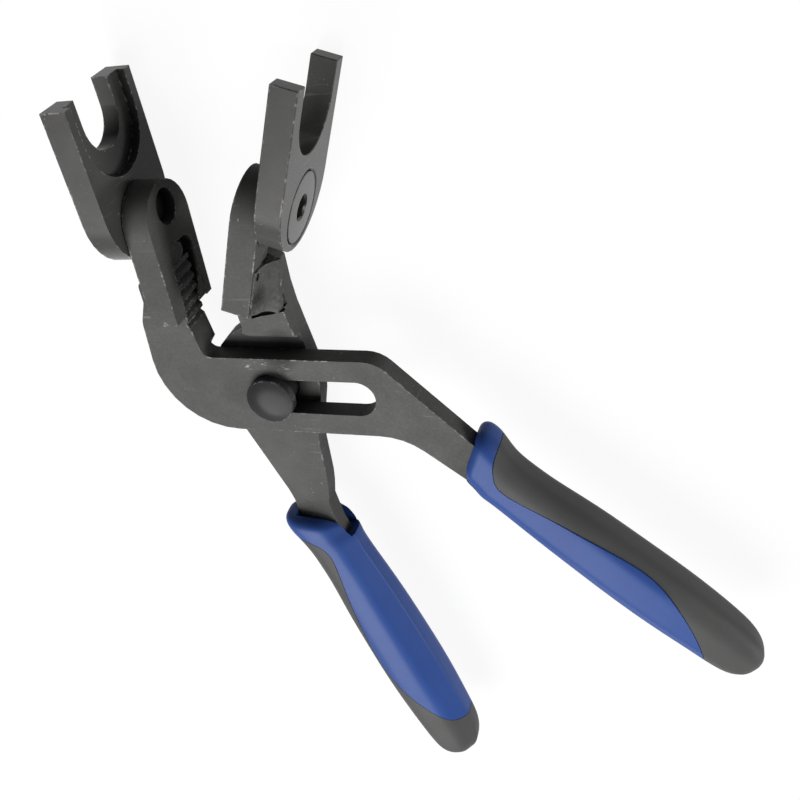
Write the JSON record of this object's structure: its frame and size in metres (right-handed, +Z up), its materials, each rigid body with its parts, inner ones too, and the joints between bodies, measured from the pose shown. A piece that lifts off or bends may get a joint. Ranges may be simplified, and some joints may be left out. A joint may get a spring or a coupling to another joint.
{
  "type": "slip-joint pliers with fork jaws",
  "caption": "Adjustable slip-joint pliers whose toothed jaws carry welded blocks with swivelling U-shaped fork plates held by countersunk socket screws; two-colour moulded grips.",
  "frame": {"origin": "middle of the bounding box in plan, at its lowest point", "axes": "+Y from the grips' end to the forks' tips, +Z up through the pivot bolt's head, +X along the adjustment slot, away from the left jaw"},
  "size_m": [0.2276, 0.3126, 0.0462],
  "materials": {
    "forged_steel": "dark phosphated forging, satin",
    "machined_steel": "dark machined plate, satin",
    "bright_steel": "bright turned steel",
    "blue_plastic": "satin moulded plastic",
    "black_rubber": "matt overmoulded rubber"
  },
  "bodies": {
    "slotted_lever": {"slotted_lever": "forged_steel", "jaw_block_left": "machined_steel", "jaw_weld_left": "forged_steel", "fork_screw_left": "machined_steel", "slotted_grip_core": "blue_plastic", "slotted_grip_cover": "black_rubber"},
    "pivot_pin": {"pivot_bolt": "bright_steel", "pivot_washer": "bright_steel", "pivot_nut": "bright_steel"},
    "pivot_lever": {"pivot_lever": "forged_steel", "jaw_block_right": "machined_steel", "jaw_weld_right": "forged_steel", "fork_screw_right": "machined_steel", "pivot_grip_core": "blue_plastic", "pivot_grip_cover": "black_rubber"},
    "left_fork": {"fork_left": "machined_steel"},
    "right_fork": {"fork_right": "machined_steel"}
  },
  "joints": [
    {"name": "slot_slide", "type": "slide", "parent": "slotted_lever", "child": "pivot_pin", "axis": [1, 0, 0], "range_m": [0, 0.0325]},
    {"name": "jaw_hinge", "type": "hinge", "parent": "pivot_pin", "child": "pivot_lever", "pos_m": [-0.06677, 0.03954, 0.02079], "axis": [0, 0, 1], "range_deg": [-15, 23]},
    {"name": "left_fork_swivel", "type": "hinge", "parent": "slotted_lever", "child": "left_fork", "pos_m": [-0.10377, 0.11154, 0.02259], "axis": [0.9998, 0.0209, 0], "range_deg": [-90, 90]},
    {"name": "right_fork_swivel", "type": "hinge", "parent": "pivot_lever", "child": "right_fork", "pos_m": [-0.05267, 0.11334, 0.02259], "axis": [-0.9478, 0.319, 0], "range_deg": [-90, 90]}
  ]
}
